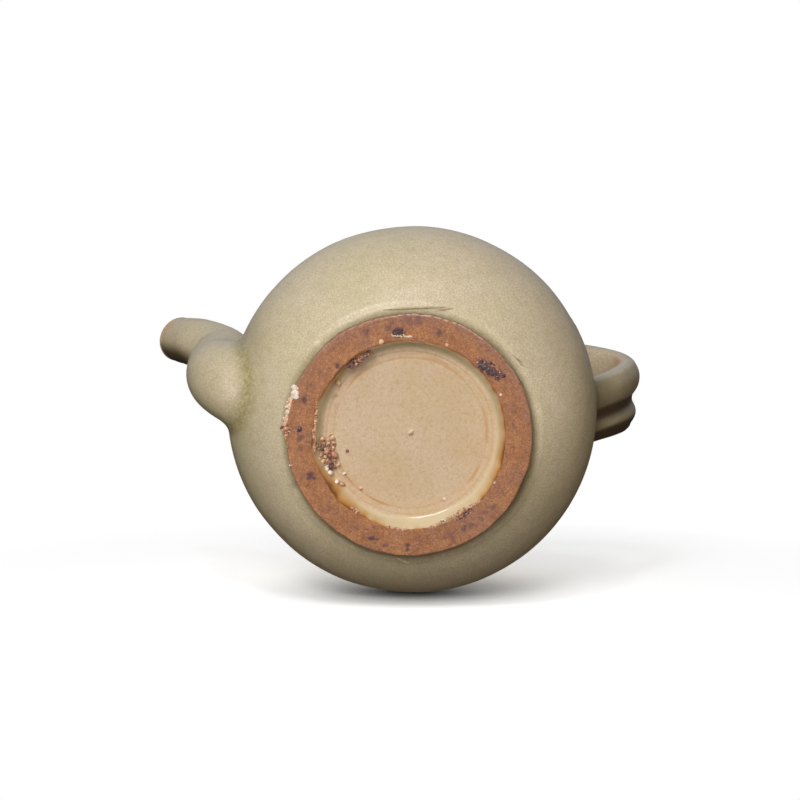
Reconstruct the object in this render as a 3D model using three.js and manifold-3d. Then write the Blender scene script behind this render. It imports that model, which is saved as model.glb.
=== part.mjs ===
// Ewer of glazed stoneware: a thrown round body on a turned foot, a thrown neck with an everted mouth,
// a hollow spout that swells where it leaves the body, and a strap handle of two pulled strands.
// Millimetres, +Z up. The foot stands on z = 0, the spout points to -X and the handle to +X.
import * as THREE from 'three';
import { mergeVertices } from 'three/addons/utils/BufferGeometryUtils.js';
import Module from 'manifold-3d';

const wasm = await Module();
wasm.setup();

// Body
const bodyRadius = 60.35;
const bellyHeight = 41;
const lowerDepth = 49;
const shoulderRise = 58;
const bodyWall = 4;
const baseWall = 4.5;
const floorSweep = 12;

// Foot ring and the turned recess inside it
const footRadius = 38.2;
const footHeight = 5.5;
const footBandInner = 29.6;
const footBevel = 0.5;
const footCoveStart = 2.6;
const recessWallShare = 0.6;
const recessRadius = 26.2;
const recessRise = 0.7;
const grooveRadius = 24;
const grooveWidth = 1.2;
const grooveDepth = 0.5;

// Neck and mouth
const neckHeight = 52;
const neckSeatRadius = 25;
const waistRadius = 14.5;
const waistShare = 0.42;
const mouthRadius = 26;
const lipRoll = 1.6;
const neckWall = 3.2;
const neckBoreRadius = 17.8;

// How the neck's curves leave its seat, waist and lip: pulls in millimetres, and shares of the rise to the
// waist or of the flare over it
const seatPull = 5;
const seatShare = 0.12;
const waistEase = 0.35;
const flareEase = 0.5;
const lipPull = 5.6;
const lipDrop = 5.4;
const throatEase = 0.55;
const throatShare = 0.3;

// Spout: stations of its centre line in shares of its reach out from the belly and of its rise over the
// belly line, each with the outer radius and the sideways lean there in shares of the tip's radius
const spoutTurn = 2.2;
const spoutReach = 24.8;
const spoutRise = 59.7;
const spoutTipRadius = 8;
const spoutStations = [
  { out: -0.861, up: -0.235, radius: 1.825, lean: 0 },
  { out: -0.353, up: -0.168, radius: 1.738, lean: 0 },
  { out: 0.059, up: 0, radius: 1.55, lean: 0 },
  { out: 0.22, up: 0.218, radius: 1.288, lean: 0 },
  { out: 0.228, up: 0.546, radius: 1.29, lean: 0.036 },
  { out: 0.611, up: 0.762, radius: 1.094, lean: 0.15 },
  { out: 1, up: 1, radius: 1, lean: -0.125 },
];
const spoutWall = 2.6;
const spoutLipRound = 0.9;
const spoutHoleRadius = 6;

// Handle: stations of the strap's centre line. The first four are shares of the strap's reach from the
// neck's waist and of its arch over it, the others of its bulge past the belly and of its height over it.
const handleTurn = -5.2;
const strapReach = 42.7;
const strapArch = 5.8;
const strapBulge = 14.1;
const strapHeight = 68.4;
const strapTop = [
  { out: -0.094, up: 0.69 },
  { out: 0.176, up: 1 },
  { out: 0.597, up: 0.931 },
  { out: 1, up: 0.586 },
];
const strapSide = [
  { out: 0.716, up: 1 },
  { out: 1, up: 0.811 },
  { out: 0.887, up: 0.61 },
  { out: 0.546, up: 0.417 },
  { out: 0.12, up: 0.238 },
  { out: -0.326, up: 0.082 },
];
const frontHalfWidth = 6.2;
const frontHalfDepth = 3.9;
const backHalfWidth = 5.6;
const backHalfDepth = 3.4;
const neckFlare = 1.2;

// Clearance where one fired piece seats on another
const seatGap = 0.3;

// How far a bore's cutter runs past the tube's end
const cutterOverrun = 3;

// Fineness of the facets, and how close two points of a profile are one
const samePoint = 0.001;
const turnSteps = 40;
const arcSteps = 5;
const tubeSides = 24;
const tubeRings = 30;
const strandSides = 16;
const strandRings = 34;

// Heights that follow from the sizes above
const neckSeatHeight = bellyHeight + shoulderRise * Math.sqrt(1 - (neckSeatRadius / bodyRadius) ** 2);
const waistHeight = neckSeatHeight + neckHeight * waistShare;
const mouthHeight = neckSeatHeight + neckHeight;

// Radius of the body's outside at a height: two half-ellipses that share the belly line.
function bodyRadiusAt(height) {
  const depth = height < bellyHeight ? lowerDepth : shoulderRise;
  return bodyRadius * Math.sqrt(Math.max(0, 1 - ((height - bellyHeight) / depth) ** 2));
}

// Ellipse angle, from the belly line, at which a half-ellipse of this depth reaches a height.
function angleAt(height, depth) {
  return Math.asin(THREE.MathUtils.clamp((height - bellyHeight) / depth, -1, 1));
}

// Turns a profile, drawn as radius and height, about the Z axis. Points that fall on the one before them,
// where two curves of the profile meet, are left out.
function turned(profile) {
  const points = profile.getPoints(arcSteps);
  const apart = points.filter((point, i) => i === 0 || point.distanceTo(points[i - 1]) > samePoint);
  return solidOf(new THREE.LatheGeometry(apart, turnSteps).rotateX(Math.PI / 2));
}

// The closed solid of a geometry, with its shared vertices merged and its empty triangles left out.
function solidOf(geometry) {
  const bare = new THREE.BufferGeometry();
  bare.setAttribute('position', geometry.attributes.position.clone());
  bare.setIndex(geometry.index.clone());
  const merged = mergeVertices(bare);
  const corners = [];
  const index = merged.index.array;
  for (let i = 0; i < index.length; i += 3) {
    const [a, b, c] = [index[i], index[i + 1], index[i + 2]];
    if (a !== b && b !== c && c !== a) corners.push(a, b, c);
  }
  return new wasm.Manifold(new wasm.Mesh({
    numProp: 3,
    vertProperties: merged.attributes.position.array,
    triVerts: new Uint32Array(corners),
  }));
}

// A named piece of fired clay made from a solid.
function piece(name, solid, color, roughness) {
  const cut = solid.getMesh();
  const geometry = new THREE.BufferGeometry();
  geometry.setAttribute('position', new THREE.BufferAttribute(new Float32Array(cut.vertProperties), 3));
  geometry.setIndex(new THREE.BufferAttribute(new Uint32Array(cut.triVerts), 1));
  geometry.computeVertexNormals();
  const material = new THREE.MeshStandardMaterial({ color, roughness, metalness: 0 });
  const mesh = new THREE.Mesh(geometry, material);
  mesh.name = name;
  return mesh;
}

// A smooth curve in the XZ plane through points given as distance from the axis and height.
function planeCurve(points) {
  return new THREE.CatmullRomCurve3(points.map(([x, z]) => new THREE.Vector3(x, 0, z)), false, 'centripetal');
}

// Value at a share of a smooth run through evenly spaced samples.
function runThrough(values) {
  const curve = new THREE.SplineCurve(values.map((value, i) => new THREE.Vector2(i, value)));
  return (share) => curve.getPoint(share).y;
}

// A straight cylinder bent onto a curve in the XZ plane. halfWidth is its size across the plane, halfDepth
// its size in the plane and shift its place beside the plane, all as functions of the share of the length.
// Its last ring runs on past the end of the curve by the overrun.
function bent(curve, { halfWidth, halfDepth, shift = () => 0, overrun = 0, sides, rings }) {
  const geometry = new THREE.CylinderGeometry(1, 1, 1, sides, rings);
  const places = geometry.attributes.position;
  const local = new THREE.Vector3();
  const across = new THREE.Vector3(0, 1, 0);
  for (let i = 0; i < places.count; i++) {
    local.fromBufferAttribute(places, i);
    const share = local.y + 0.5;
    const station = curve.getUtoTmapping(share);
    const along = curve.getTangent(station);
    const outward = new THREE.Vector3().crossVectors(across, along);
    const place = curve.getPoint(station);
    place.addScaledVector(across, local.x * halfWidth(station) + shift(station));
    place.addScaledVector(outward, local.z * halfDepth(station));
    if (share === 1) place.addScaledVector(along, overrun);
    places.setXYZ(i, place.x, place.y, place.z);
  }
  return solidOf(geometry);
}

// The body's outside as one closed envelope, grown by a clearance: what the spout and handle seat on.
function bodyEnvelope(grow) {
  const profile = new THREE.Path();
  const [radius, lower, upper] = [bodyRadius + grow, lowerDepth + grow, shoulderRise + grow];
  const start = angleAt(footHeight, lowerDepth);
  const end = angleAt(neckSeatHeight, shoulderRise);
  profile.moveTo(0, bellyHeight + lower * Math.sin(start));
  profile.lineTo(radius * Math.cos(start), bellyHeight + lower * Math.sin(start));
  profile.absellipse(0, bellyHeight, radius, lower, start, 0, false);
  profile.absellipse(0, bellyHeight, radius, upper, 0, end, false);
  profile.lineTo(0, bellyHeight + upper * Math.sin(end));
  return turned(profile);
}

// The neck's outside, from its seat in to the waist and out to the lip, moved outwards by a clearance.
function traceNeck(profile, grow) {
  const rise = waistHeight - neckSeatHeight;
  const flare = mouthHeight - waistHeight;
  const lipOuter = mouthRadius + grow;
  profile.lineTo(neckSeatRadius + grow, neckSeatHeight);
  profile.bezierCurveTo(
    neckSeatRadius - seatPull + grow, neckSeatHeight + rise * seatShare,
    waistRadius + grow, neckSeatHeight + rise * waistEase,
    waistRadius + grow, waistHeight);
  profile.bezierCurveTo(
    waistRadius + grow, waistHeight + flare * flareEase,
    lipOuter - lipPull, mouthHeight - lipDrop,
    lipOuter, mouthHeight - lipRoll);
}

function makeFootRing() {
  const profile = new THREE.Path();
  const seatRadius = bodyRadiusAt(footHeight);
  profile.moveTo(footBandInner, 0);
  profile.lineTo(footRadius - footBevel, 0);
  profile.lineTo(footRadius, footBevel);
  profile.lineTo(footRadius, footCoveStart);
  profile.quadraticCurveTo(footRadius, footHeight - footBevel, seatRadius, footHeight);
  profile.lineTo(recessRadius, footHeight);
  profile.quadraticCurveTo(footBandInner - footBevel, footHeight * recessWallShare, footBandInner, 0);
  return turned(profile);
}

function makeBody() {
  const recessFloor = footHeight + recessRise;
  const floorTop = footHeight + baseWall;
  const innerRadius = bodyRadius - bodyWall;
  const innerLower = lowerDepth - bodyWall;
  const innerUpper = shoulderRise - bodyWall;
  const floorAngle = angleAt(floorTop, innerLower);
  const floorRadius = innerRadius * Math.cos(floorAngle);
  const rimAngle = Math.acos(neckBoreRadius / innerRadius);
  const profile = new THREE.Path();
  profile.moveTo(0, recessFloor);
  profile.lineTo(grooveRadius - grooveWidth, recessFloor);
  profile.lineTo(grooveRadius, recessFloor + grooveDepth);
  profile.lineTo(grooveRadius + grooveWidth, recessFloor);
  profile.lineTo(recessRadius, footHeight);
  profile.lineTo(bodyRadiusAt(footHeight), footHeight);
  profile.absellipse(0, bellyHeight, bodyRadius, lowerDepth, angleAt(footHeight, lowerDepth), 0, false);
  const neckAngle = angleAt(neckSeatHeight, shoulderRise);
  profile.absellipse(0, bellyHeight, bodyRadius, shoulderRise, 0, neckAngle, false);
  profile.lineTo(neckBoreRadius, neckSeatHeight);
  profile.lineTo(neckBoreRadius, bellyHeight + innerUpper * Math.sin(rimAngle));
  profile.absellipse(0, bellyHeight, innerRadius, innerUpper, rimAngle, 0, true);
  profile.absellipse(0, bellyHeight, innerRadius, innerLower, 0, floorAngle, true);
  profile.quadraticCurveTo(floorRadius - bodyWall, floorTop, floorRadius - floorSweep, floorTop);
  profile.lineTo(0, floorTop);
  return turned(profile).subtract(spoutTube(() => spoutHoleRadius));
}

function makeNeck() {
  const flare = mouthHeight - waistHeight;
  const throat = waistRadius - neckWall;
  const profile = new THREE.Path();
  profile.moveTo(neckBoreRadius, neckSeatHeight);
  traceNeck(profile, 0);
  profile.quadraticCurveTo(mouthRadius, mouthHeight, mouthRadius - lipRoll, mouthHeight);
  profile.bezierCurveTo(
    mouthRadius - neckWall * 2, mouthHeight - neckWall,
    throat, waistHeight + flare * throatEase,
    throat, waistHeight);
  profile.bezierCurveTo(
    throat, waistHeight - flare * throatShare,
    neckBoreRadius - neckWall, neckSeatHeight + neckWall,
    neckBoreRadius, neckSeatHeight);
  return turned(profile);
}

// The spout's centre line as a tube of any radius, laid towards the spout's side of the body.
function spoutTube(radius, overrun = 0) {
  const places = spoutStations.map(({ out, up }) => [
    bodyRadius + out * spoutReach,
    bellyHeight + up * spoutRise,
  ]);
  const lean = runThrough(spoutStations.map((station) => station.lean * spoutTipRadius));
  const tube = bent(planeCurve(places), {
    halfWidth: radius, halfDepth: radius, shift: lean, overrun, sides: tubeSides, rings: tubeRings,
  });
  return tube.rotate([0, 0, 180 + spoutTurn]);
}

function makeSpout() {
  const swelling = runThrough(spoutStations.map(({ radius }) => radius * spoutTipRadius));
  const outside = (share) => swelling(share) - spoutLipRound * share ** tubeRings;
  const bore = (share) => swelling(share) - spoutWall;
  return spoutTube(outside).subtract(spoutTube(bore, cutterOverrun)).subtract(bodyEnvelope(seatGap));
}

// The neck's outside as one closed envelope, grown by a clearance.
function neckEnvelope(grow) {
  const profile = new THREE.Path();
  profile.moveTo(0, neckSeatHeight);
  traceNeck(profile, grow);
  profile.lineTo(0, mouthHeight);
  return turned(profile);
}

// One strand of the strap handle, on one side of the groove between the two (-1 front, 1 back), broader
// where it meets the neck, and cut where it seats on the neck and the body.
function makeStrand(middleHalfWidth, middleHalfDepth, side) {
  const places = [
    ...strapTop.map(({ out, up }) => [waistRadius + out * strapReach, waistHeight + up * strapArch]),
    ...strapSide.map(({ out, up }) => [bodyRadius + out * strapBulge, bellyHeight + up * strapHeight]),
  ];
  const flare = (share) => 1 + (neckFlare - 1) * (1 - share) ** 6;
  const groove = frontHalfWidth - backHalfWidth;
  const halfWidth = (share) => middleHalfWidth * flare(share);
  const strand = bent(planeCurve(places), {
    halfWidth,
    halfDepth: (share) => middleHalfDepth * flare(share),
    shift: (share) => groove + side * (halfWidth(share) + seatGap / 2),
    sides: strandSides,
    rings: strandRings,
  });
  return strand.rotate([0, 0, handleTurn]).subtract(bodyEnvelope(seatGap)).subtract(neckEnvelope(seatGap));
}

const glaze = 0xb3a67f;
const bareClay = 0xa5683f;
const glossy = 0.3;
const matt = 0.85;

const ewer = new THREE.Group();
ewer.add(piece('foot_ring', makeFootRing(), bareClay, matt));
ewer.add(piece('body', makeBody(), glaze, glossy));
ewer.add(piece('neck', makeNeck(), glaze, glossy));
ewer.add(piece('spout', makeSpout(), glaze, glossy));
ewer.add(piece('handle_strand_front', makeStrand(frontHalfWidth, frontHalfDepth, -1), glaze, glossy));
ewer.add(piece('handle_strand_back', makeStrand(backHalfWidth, backHalfDepth, 1), glaze, glossy));

// The origin is the middle of the whole outline, on the ground: the spout and handle reach differently.
const outline = new THREE.Box3().setFromObject(ewer);
ewer.position.x = -(outline.min.x + outline.max.x) / 2;

export default ewer;
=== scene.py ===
"""The looks of a small glazed stoneware ewer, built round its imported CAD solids.

Shapes are worked out in millimetres about the ewer's own axis and put into the meshes in metres."""

import bmesh
import bpy
import numpy as np
from mathutils import Matrix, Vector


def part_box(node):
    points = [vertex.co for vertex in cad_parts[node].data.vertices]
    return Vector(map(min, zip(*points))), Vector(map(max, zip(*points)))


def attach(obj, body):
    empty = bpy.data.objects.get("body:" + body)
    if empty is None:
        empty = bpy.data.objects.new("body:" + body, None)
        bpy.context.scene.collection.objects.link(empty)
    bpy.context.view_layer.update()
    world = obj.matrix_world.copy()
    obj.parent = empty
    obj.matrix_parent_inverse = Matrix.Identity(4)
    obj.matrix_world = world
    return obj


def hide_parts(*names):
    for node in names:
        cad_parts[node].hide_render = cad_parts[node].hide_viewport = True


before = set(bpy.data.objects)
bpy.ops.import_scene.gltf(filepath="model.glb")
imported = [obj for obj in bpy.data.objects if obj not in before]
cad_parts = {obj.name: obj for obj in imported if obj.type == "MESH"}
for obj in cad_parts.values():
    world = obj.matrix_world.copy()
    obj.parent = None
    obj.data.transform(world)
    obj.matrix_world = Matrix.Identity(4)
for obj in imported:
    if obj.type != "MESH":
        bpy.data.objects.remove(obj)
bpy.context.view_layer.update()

MM = 0.001


def node_box(node):
    """Lowest and highest corner of a CAD node, in millimetres."""
    low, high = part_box(node)
    return np.array(low) / MM, np.array(high) / MM


foot_low, foot_high = node_box("foot_ring")
body_low, body_high = node_box("body")
neck_low, neck_high = node_box("neck")
axis_x = (foot_low[0] + foot_high[0]) / 2

# Body, as two half-ellipses that share the belly line
body_radius = (body_high[1] - body_low[1]) / 2
belly_height = 41.0
lower_depth = 49.0
shoulder_rise = 58.0
body_wall = 4.0
inside_floor = 10.0
skin_step = 0.8
inside_step = 4.0
foot_height = foot_high[2]
neck_seat_height = neck_low[2]
neck_seat_radius = 25.0

# Foot ring and recess
foot_radius = 38.2
band_inner = 29.6
recess_floor = 6.2
glaze_stop = 2.6
foot_face = 0.45

# Neck
mouth_height = neck_high[2]
mouth_radius = 26.0
waist_radius = 14.5
waist_height = neck_seat_height + 0.42 * (mouth_height - neck_seat_height)
neck_wall = 3.2
bore_radius = 17.8
lip_round = 1.6
# Share of the level gap to the sloping neck that is the distance to it
neck_slope_share = 0.8

# Spout: distance out from the belly, height over the belly line and outer radius at each station
spout_turn = np.radians(182.2)
spout_out = np.array([-21.35, -8.75, 1.46, 5.46, 5.65, 15.15, 24.35])
spout_up = np.array([-14.03, -10.03, 0, 13.01, 32.6, 45.49, 59.7])
spout_radii = np.array([14.6, 13.9, 12.4, 10.3, 10.32, 8.75, 8.0])
spout_lean = np.array([0, 0, 0, 0, 0.29, 1.2, -1.0])
spout_wall = 2.6
spout_taper = 0.5
spout_fillet = 3.6

# Handle strap: the first stations are measured from the neck's waist, the others from the belly
handle_turn = np.radians(-5.2)
strap_top = np.array([[-4.01, 4], [7.52, 5.8], [25.49, 5.4], [42.7, 3.4]])
strap_side = np.array([[10.1, 68.4], [14.3, 55.47], [12.5, 41.72], [7.7, 28.52], [1.69, 16.28],
                       [-4.6, 5.61]])
groove_line = 0.7
front_rib = (5.5, 3.7)
front_rib_place = -6.1
back_rib = (3.6, 3.1)
back_rib_place = 5.9
web_middle = 0.3
web_half_width = 11.5
web_half_depth = 2.5
web_drop = -1.0
web_corner = 0.9
rib_blend = 1.4
strap_flare = 1.1
strap_taper = 0.09
strap_lean = np.array([0, 0, 0, 0.1, 0.4, 0.6, 0.3, 0.0, -0.3, -0.3])
strap_fillet = 3.4

# Tan stains, where the glaze is thin: places, and half widths of the strap's
strap_stain = np.array([69.0, -16.0, 99.5])
strap_stain_half = np.array([3.2, 2.6, 3.4])
lip_stain = np.array([-88.7, -7.4, 95.7])

# How far one glazed skin lies under the other where the vessel and a limb share their surface, and how near
# a limb the body's skin may have to be moved
skin_gap = 0.06
near_limb = 32


# Curves

def cubic(start, end, leave, arrive, w):
    """A cubic between two values, by the slopes at its ends and the share of the way along."""
    return ((2 * start - 2 * end + leave + arrive) * w ** 3
            + (3 * end - 3 * start - 2 * leave - arrive) * w ** 2 + leave * w + start)


def smooth_run(values, t):
    """Uniform Catmull-Rom run through values at shares t: each span is the cubic whose end slopes are half
    the difference of the two neighbouring values."""
    values = np.asarray(values, float)
    place = np.clip(t, 0, 1) * (len(values) - 1)
    i = np.minimum(place.astype(int), len(values) - 2)
    w = place - i
    before, start, end, after = (values[np.clip(i + k, 0, len(values) - 1)] for k in (-1, 0, 1, 2))
    leave, arrive = (end - before) / 2, (after - start) / 2
    return cubic(start, end, leave, arrive, w)


def smooth_path(points, t):
    """Centripetal Catmull-Rom curve through points at shares t: as the uniform one, with each span's time
    the square root of its length and end points mirrored past the ends."""
    points = np.asarray(points, float)
    ends = np.concatenate([2 * points[:1] - points[1:2], points, 2 * points[-1:] - points[-2:-1]])
    place = np.clip(t, 0, 1) * (len(points) - 1)
    i = np.minimum(place.astype(int), len(points) - 2)
    w = (place - i)[:, None]
    p0, p1, p2, p3 = (ends[i + k] for k in range(4))
    d0, d1, d2 = (np.sqrt(np.linalg.norm(b - a, axis=1))[:, None] for a, b in ((p0, p1), (p1, p2), (p2, p3)))
    leave = ((p1 - p0) / d0 - (p2 - p0) / (d0 + d1) + (p2 - p1) / d1) * d1
    arrive = ((p2 - p1) / d1 - (p3 - p1) / (d1 + d2) + (p3 - p2) / d2) * d1
    return cubic(p1, p2, leave, arrive, w)


def bezier(points, steps):
    """A Bezier curve of any degree, by repeated halfway mixing of its control points."""
    t = np.linspace(0, 1, steps)[:, None]
    levels = [np.repeat(np.asarray(p, float)[None], steps, 0) for p in points]
    while len(levels) > 1:
        levels = [a * (1 - t) + b * t for a, b in zip(levels, levels[1:])]
    return levels[0]


def smooth_min(a, b, k):
    """The smaller of a and b, with a rounded change over of width k: their mix less k h (1 - h)."""
    h = np.clip(0.5 + 0.5 * (b - a) / k, 0, 1)
    return b * (1 - h) + a * h - k * h * (1 - h)


def ease(low, high, value):
    """0 below low, 1 above high, and a smooth rise between."""
    share = np.clip((value - low) / (high - low), 0, 1)
    return share * share * (3 - 2 * share)


def bell(value, middle, width, power=2):
    """1 at the middle, falling to 0 past the width on both sides. A higher power gives a flatter top."""
    return np.exp(-((value - middle) / width) ** power)


def normalised(vectors):
    """Vectors of length 1 in the same directions."""
    return vectors / np.linalg.norm(vectors, axis=-1, keepdims=True)


def full_turn(count):
    """Even angles right round."""
    return np.linspace(0, 2 * np.pi, count, endpoint=False)


def off_axis(points):
    """Each point's distance from the upright axis."""
    return np.hypot(points[:, 0], points[:, 1])


def ripple(points, wavelength, seed, waves=40):
    """Smooth noise of about unit size: a sum of plane waves of nearly one length in random directions."""
    draw = np.random.default_rng(seed)
    aim = draw.normal(size=(waves, 3))
    aim *= (2 * np.pi / wavelength * draw.uniform(0.7, 1.4, waves) / np.linalg.norm(aim, axis=1))[:, None]
    return np.cos(points @ aim.T + draw.uniform(0, 2 * np.pi, waves)).sum(1) / np.sqrt(waves / 2)


# Distances to the vessel and to its spout and handle

def ellipse_distance(a, b, half_a, half_b):
    """Nearly the distance to an ellipse: (q - 1) q over the slope of q, q being the scaled radius."""
    q = np.sqrt((a / half_a) ** 2 + (b / half_b) ** 2)
    slope = np.sqrt((a / half_a ** 2) ** 2 + (b / half_b ** 2) ** 2)
    return (q - 1) * q / np.maximum(slope, 1e-9)


def neck_radius(height):
    """The neck's outside radius at a height, read off its own profile."""
    profile = neck_outside()
    return np.interp(height, profile[:, 1], profile[:, 0])


def neck_outside():
    """The neck's outside from seat to lip as two Bezier curves that share the waist."""
    rise, flare = waist_height - neck_seat_height, mouth_height - waist_height
    slope = neck_seat_radius / (neck_seat_height - belly_height) * (shoulder_rise / body_radius) ** 2
    lower = bezier([(neck_seat_radius, neck_seat_height), (20, neck_seat_height + 5 * slope),
                    (waist_radius, neck_seat_height + 0.35 * rise), (waist_radius, waist_height)], 30)
    upper = bezier([(waist_radius, waist_height), (waist_radius, waist_height + 0.5 * flare),
                    (mouth_radius - 5.6, mouth_height - 5.4), (mouth_radius, mouth_height - lip_round)], 30)
    return np.concatenate([lower, upper[1:]])


def vessel_distance(points):
    """Distance to the body's two half-ellipsoids or, over the neck's seat, to the turned neck."""
    radius = off_axis(points)
    depth = np.where(points[:, 2] < belly_height, lower_depth, shoulder_rise)
    body = ellipse_distance(radius, points[:, 2] - belly_height, body_radius, depth)
    neck = (radius - neck_radius(points[:, 2])) * neck_slope_share
    return np.where(points[:, 2] > neck_seat_height, np.minimum(body, neck), body)


def turn(points, angle):
    """Points turned about the upright axis."""
    c, s = np.cos(angle), np.sin(angle)
    x, y = points[..., 0] * c - points[..., 1] * s, points[..., 0] * s + points[..., 1] * c
    return np.stack([x, y, points[..., 2]], -1)


class Limb:
    """A tube or strap along a curve in an upright plane through the axis, turned about the axis.

    section(share, across, outward) gives the distance to its outside in the plane square to the curve. Its
    lean is a sideways shift that runs through values at the stations."""

    def __init__(self, stations, angle, section, lean=(0, 0), count=161):
        t = np.linspace(0, 1, 2001)
        path = smooth_path(stations, t)
        run = np.concatenate([[0], np.cumsum(np.linalg.norm(np.diff(path, axis=0), axis=1))])
        self.share = np.interp(np.linspace(0, run[-1], count), run, t)
        flat = smooth_path(stations, self.share)
        flat = np.stack([flat[:, 0], np.zeros(count), flat[:, 1]], 1)
        along = normalised(np.gradient(flat, axis=0))
        across = np.repeat([[0.0, 1.0, 0.0]], count, 0)
        self.places = turn(flat + across * smooth_run(lean, self.share)[:, None], angle)
        self.along = turn(along, angle)
        self.across = turn(across, angle)
        self.outward = turn(np.cross(along, across), angle)
        self.section = section
        self.length = run[-1]

    def distance(self, points):
        """Distance to the limb: its section's, at the nearest place on its curve."""
        gap = points[:, None, :] - self.places[None]
        near = np.argmin((gap ** 2).sum(2), 1)
        offset = points - self.places[near]
        step = self.length / (len(self.places) - 1)
        slide = np.clip((offset * self.along[near]).sum(1) / step, -1, 1)
        other = np.clip(near + np.sign(slide).astype(int), 0, len(self.places) - 1)
        slid = np.abs(slide)[:, None]
        centre = self.places[near] * (1 - slid) + self.places[other] * slid
        share = self.share[near] * (1 - slid[:, 0]) + self.share[other] * slid[:, 0]
        offset = points - centre
        across = (offset * self.across[near]).sum(1)
        outward = (offset * (self.outward[near] * (1 - slid) + self.outward[other] * slid)).sum(1)
        return self.section(share, across, outward)


def spout_section(share, across, outward):
    """A round section whose radius runs through the stations' radii and draws in a little at the lip."""
    drawn_in = spout_taper * ease(0.92, 1, share) ** 2
    return np.hypot(across, outward) - smooth_run(spout_radii, share) + drawn_in


def box_distance(a, b, half_a, half_b, corner):
    """Distance to an upright box with rounded corners."""
    past_a, past_b = np.abs(a) - half_a + corner, np.abs(b) - half_b + corner
    outside = np.hypot(np.maximum(past_a, 0), np.maximum(past_b, 0))
    return outside + np.minimum(np.maximum(past_a, past_b), 0) - corner


def strap_section(share, across, outward):
    """Two elliptical ribs side by side on a flat strip whose long edges are only a little rounded."""
    size = 1 + (strap_flare - 1) * (1 - share) ** 6 - strap_taper * ease(0.6, 0.95, share)

    def rib(place, half):
        return ellipse_distance(across - groove_line - place * size, outward, half[0] * size, half[1] * size)

    ribs = smooth_min(rib(front_rib_place, front_rib), rib(back_rib_place, back_rib), rib_blend)
    web = box_distance(across - web_middle, outward - web_drop, web_half_width * size, web_half_depth,
                       web_corner)
    return smooth_min(ribs, web, rib_blend)


spout = Limb(np.stack([body_radius + spout_out, belly_height + spout_up], 1), spout_turn, spout_section,
             spout_lean)
strap = Limb(np.concatenate([strap_top + [waist_radius, waist_height],
                             strap_side + [body_radius, belly_height]]),
             handle_turn, strap_section, strap_lean)


def march(points, aims, distance, reach, steps=16):
    """Moves each point along its aim until the distance function is zero, by steps as long as the distance
    that is left, and no further than reach. Returns how far each went."""
    gone = np.zeros(len(points))
    for _ in range(steps):
        gone = np.clip(gone - distance(points + aims * gone[:, None]), 0, reach)
    return gone


def crease(points, limb, fillet):
    """How far a point of the skin lies in the hollow between the vessel and a limb: 4 h (1 - h), which is 1
    where both are equally near and 0 past the fillet's width."""
    h = np.clip(0.5 + 0.5 * (limb.distance(points) - vessel_distance(points)) / fillet, 0, 1)
    return 4 * h * (1 - h)


# Pink patches below the belly, partly thin glaze over a swelling and partly painted highlight on the
# swelling's crest and on the lower body beside the foot: x, y, half width in x and in y, strength
BLUSHES_AND_HIGHLIGHTS = [(-58.0, -4.0, 3.4, 7.0, 0.85), (-46.5, -9.0, 3.6, 13.0, 0.5), (-30.0, 36.0, 14.0, 5.0, 0.3),
           (2.0, -46.0, 18.0, 3.0, 0.35)]


def blush_and_painted_light(points):
    """Depth of the blush and painted highlight: the highest of its bell curves, below the belly."""
    deep = np.zeros(len(points))
    for x, y, half_x, half_y, strength in BLUSHES_AND_HIGHLIGHTS:
        deep = np.maximum(deep, strength * bell(points[:, 0], x, half_x) * bell(points[:, 1], y, half_y))
    return deep * (points[:, 2] < belly_height)


def saddle(points):
    """Depth of the darker patch in the saddle above the spout's swelling."""
    patch = bell(points[:, 0], -59, 6) * bell(points[:, 1], -20, 5)
    return 0.3 * patch * (points[:, 2] < belly_height + 20)


# Meshes

crisp_angle = np.radians(60)


def mesh_piece(name, points, faces, slot, nodes=(), attributes=None):
    """A mesh object from points in millimetres about the ewer's axis and faces as lists of corners, in its
    slot's material. Edges sharper than the crisp angle aren't shaded smooth."""
    mesh = bpy.data.meshes.new(name)
    placed = (np.asarray(points, float) + [axis_x, 0, 0]) * MM
    mesh.from_pydata(placed.tolist(), [], [list(f) for f in faces])
    for key, values in (attributes or {}).items():
        mesh.attributes.new(key, "FLOAT", "POINT").data.foreach_set("value", np.asarray(values, np.float32))
    mesh.polygons.foreach_set("use_smooth", np.ones(len(mesh.polygons), bool))
    mesh.set_sharp_from_angle(angle=crisp_angle)
    mesh.materials.append(MATERIALS[slot])
    mesh.validate()
    piece = bpy.data.objects.new(name, mesh)
    bpy.context.scene.collection.objects.link(piece)
    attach(piece, "root")
    if nodes:
        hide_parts(*nodes)
    return piece


def grid_faces(rows, columns, close_rows=False):
    """Four-cornered faces of a grid of points that goes round in its columns and, if asked, in its rows."""
    last = rows if close_rows else rows - 1
    i, j = np.meshgrid(np.arange(last), np.arange(columns), indexing="ij")
    up, on = (i + 1) % rows, (j + 1) % columns
    corners = [i * columns + j, i * columns + on, up * columns + on, up * columns + j]
    return np.stack(corners, -1).reshape(-1, 4)


def fan_faces(row, columns, centre, flip):
    """Three-cornered faces from one row of a grid to a centre point."""
    j = np.arange(columns)
    on = (j + 1) % columns
    first, second = (on, j) if flip else (j, on)
    return np.stack([row * columns + first, row * columns + second, np.full(columns, centre)], 1)


def capped_faces(rows, columns):
    """Faces of a grid of points that a fan closes at each end. The fans' centres follow the grid."""
    count = rows * columns
    return [*grid_faces(rows, columns).tolist(), *fan_faces(0, columns, count, True).tolist(),
            *fan_faces(rows - 1, columns, count + 1, False).tolist()]


def revolve(profile, angles):
    """Points of a profile, rows of radius and height, at each angle round the axis."""
    radius, height = profile[:, 0][:, None], profile[:, 1][:, None]
    return np.stack([radius * np.cos(angles), radius * np.sin(angles),
                     np.broadcast_to(height, (len(profile), len(angles)))], -1)


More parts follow.
